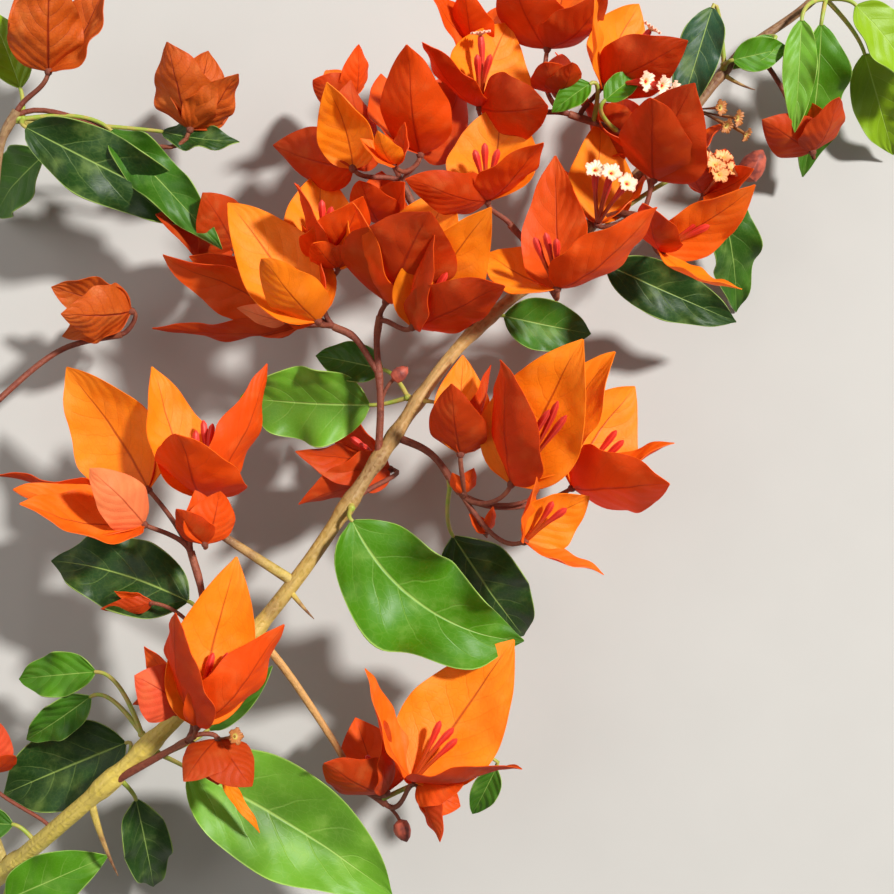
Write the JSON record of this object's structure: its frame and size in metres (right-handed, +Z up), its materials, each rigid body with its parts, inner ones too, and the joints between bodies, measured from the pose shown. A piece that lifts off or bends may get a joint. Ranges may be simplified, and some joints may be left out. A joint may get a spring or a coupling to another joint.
{
  "type": "cut flowering branch",
  "caption": "A cut branch of orange bougainvillea lying on the ground: an arching main cane, side stems, papery three-bract blooms and green leaves",
  "frame": {"origin": "under the middle of the branch's bounding box, on the ground it lies on", "axes": "+Z is up from the ground, the way the picture's camera looks back; +X is the picture's right and +Y the picture's up. The cut end of the main cane is at low X and low Y and its leafy tip at high X and high Y"},
  "size_m": [0.3126, 0.309, 0.0992],
  "materials": {
    "cane": "matte tan to brown bark, yellow-green where lit",
    "stem": "matte red-brown young bark",
    "leaf": "glossy green with a paler midrib and rim",
    "papery": "dry papery brown-orange with strong net veins",
    "fresh": "thin papery orange with a dark midrib"
  },
  "bodies": {
    "root": {"main_cane": "cane", "left_cane": "cane", "front_stem": "stem", "left_stem": "stem", "middle_stem": "stem", "right_stem": "stem", "centre_stem": "stem", "upper_left_stem": "stem", "upper_stem": "stem", "crown_stem": "stem", "crown_right_stem": "stem", "top_stem": "stem", "left_low_stem": "stem", "left_1": "fresh", "left_2": "fresh", "left_3": "fresh", "front_1": "fresh", "front_2": "fresh", "middle_1": "fresh", "middle_2": "fresh", "right_1": "fresh", "right_2": "fresh", "right_3": "fresh", "right_4": "fresh", "behind_1": "fresh", "centre_1": "fresh", "centre_2": "fresh", "upper_left_1": "fresh", "upper_left_2": "fresh", "upper_left_3": "fresh", "upper_1": "fresh", "upper_2": "fresh", "upper_3": "fresh", "upper_4": "fresh", "crown_1": "fresh", "crown_2": "fresh", "crown_3": "fresh", "crown_4": "fresh", "crown_5": "fresh", "top_1": "fresh", "top_2": "fresh", "top_3": "fresh", "papery_1": "papery", "papery_2": "papery", "papery_3": "papery", "tip_1": "fresh", "wide_leaf": "leaf", "front_leaf": "leaf", "left_dark_leaf": "leaf", "low_left_leaves": "leaf", "corner_leaf": "leaf", "pale_leaves": "leaf", "shaded_leaf": "leaf", "centre_leaf": "leaf", "right_leaves": "leaf", "blue_leaf": "leaf", "tip_leaves": "leaf", "far_left_leaves": "leaf", "side_shoot": "leaf"}
  },
  "joints": []
}
